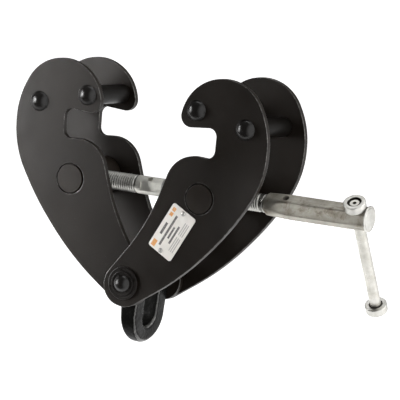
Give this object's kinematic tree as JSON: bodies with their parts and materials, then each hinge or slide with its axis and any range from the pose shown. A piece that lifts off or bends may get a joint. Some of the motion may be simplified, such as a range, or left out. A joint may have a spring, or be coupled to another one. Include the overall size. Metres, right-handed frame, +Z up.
{
  "type": "beam clamp",
  "caption": "Screw-adjusted beam clamp: paired hook-shaped jaw plates on one pivot pin, moved by a double-threaded spindle with a tommy bar, with a forged bow hanging from the pin.",
  "frame": {"origin": "middle of the pivot pin's axis, halfway between the outer plates", "axes": "+X along the spindle towards the handle, +Y along the pivot pin towards the back, +Z up, towards the beam"},
  "size_m": [0.3743, 0.1277, 0.2704],
  "materials": {
    "jaw_paint": "semi-gloss brown-black paint over rolled plate",
    "black_rivet": "glossy black paint over rivet heads, pins and washers",
    "black_forging": "glossy black paint over a forged surface",
    "blackened_nut": "dark oiled steel with paint at its ends",
    "zinc_thread": "bright zinc plated steel, rolled thread",
    "zinc_sleeve": "dull zinc plated hexagon tube with stains",
    "zinc_bar": "bright zinc plated round bar and caps",
    "spring_steel": "dark spring steel",
    "label": "pale printed aluminium plate",
    "label_rivet": "small aluminium drive rivets"
  },
  "bodies": {
    "pivot": {"pivot_pin": "black_rivet", "front_pivot_washer": "black_rivet", "rear_pivot_washer": "black_rivet"},
    "right_jaw": {"right_front_plate": "jaw_paint", "right_rear_plate": "jaw_paint", "right_tip_rivet": "black_rivet", "right_back_rivet": "black_rivet", "right_tip_spacer": "jaw_paint", "right_back_spacer": "jaw_paint", "nameplate": "label", "nameplate_rivets": "label_rivet"},
    "left_jaw": {"left_front_plate": "jaw_paint", "left_rear_plate": "jaw_paint", "left_tip_rivet": "black_rivet", "left_back_rivet": "black_rivet", "left_tip_spacer": "jaw_paint", "left_back_spacer": "jaw_paint"},
    "right_nut": {"right_trunnion_nut": "blackened_nut"},
    "left_nut": {"left_trunnion_nut": "blackened_nut"},
    "bow": {"shackle_bow": "black_forging"},
    "stop_washer": {"stop_washer": "zinc_thread"},
    "spindle": {"spindle": "zinc_thread", "end_stop": "zinc_thread", "end_stop_pin": "spring_steel", "handle_sleeve": "zinc_sleeve", "sleeve_pin": "spring_steel", "sleeve_end_plug": "zinc_bar"},
    "tommy_bar": {"tommy_bar": "zinc_bar", "upper_bar_cap": "zinc_bar", "lower_bar_cap": "zinc_bar"}
  },
  "joints": [
    {"name": "right_jaw_hinge", "type": "hinge", "parent": "pivot", "child": "right_jaw", "pos_m": [0, 0, 0], "axis": [0, 1, 0], "range_deg": [-15.5, 12.4]},
    {"name": "left_jaw_hinge", "type": "hinge", "parent": "pivot", "child": "left_jaw", "pos_m": [0, 0, 0], "axis": [0, 1, 0], "range_deg": [-12.45, 15.55]},
    {"name": "right_nut_turn", "type": "hinge", "parent": "right_jaw", "child": "right_nut", "pos_m": [0.0737, 0, 0.0921], "axis": [0, 1, 0], "range_deg": [-12.45, 15.55]},
    {"name": "left_nut_turn", "type": "hinge", "parent": "left_jaw", "child": "left_nut", "pos_m": [-0.0737, 0, 0.0921], "axis": [0, 1, 0], "range_deg": [-15.55, 12.45]},
    {"name": "spindle_advance", "type": "slide", "parent": "right_nut", "child": "stop_washer", "axis": [1, 0, 0], "range_m": [-0.0202, 0.0252]},
    {"name": "spindle_spin", "type": "hinge", "parent": "stop_washer", "child": "spindle", "pos_m": [0, 0, 0.0921], "axis": [1, 0, 0], "range_deg": [-2885, 3605]},
    {"name": "tommy_bar_slide", "type": "slide", "parent": "spindle", "child": "tommy_bar", "axis": [0, -0.5736, 0.8192], "range_m": [0, 0.096]},
    {"name": "bow_swing", "type": "hinge", "parent": "pivot", "child": "bow", "pos_m": [0, 0, 0], "axis": [0, 1, 0], "range_deg": [-80, 80]}
  ],
  "couplings": [
    {"joint": "spindle_spin", "follows": "right_jaw_hinge", "ratio": -232.26},
    {"joint": "left_jaw_hinge", "follows": "right_jaw_hinge", "ratio": -1},
    {"joint": "right_nut_turn", "follows": "right_jaw_hinge", "ratio": -1},
    {"joint": "left_nut_turn", "follows": "right_jaw_hinge", "ratio": 1},
    {"joint": "spindle_advance", "follows": "right_jaw_hinge", "m_per_rad": -0.092412}
  ]
}
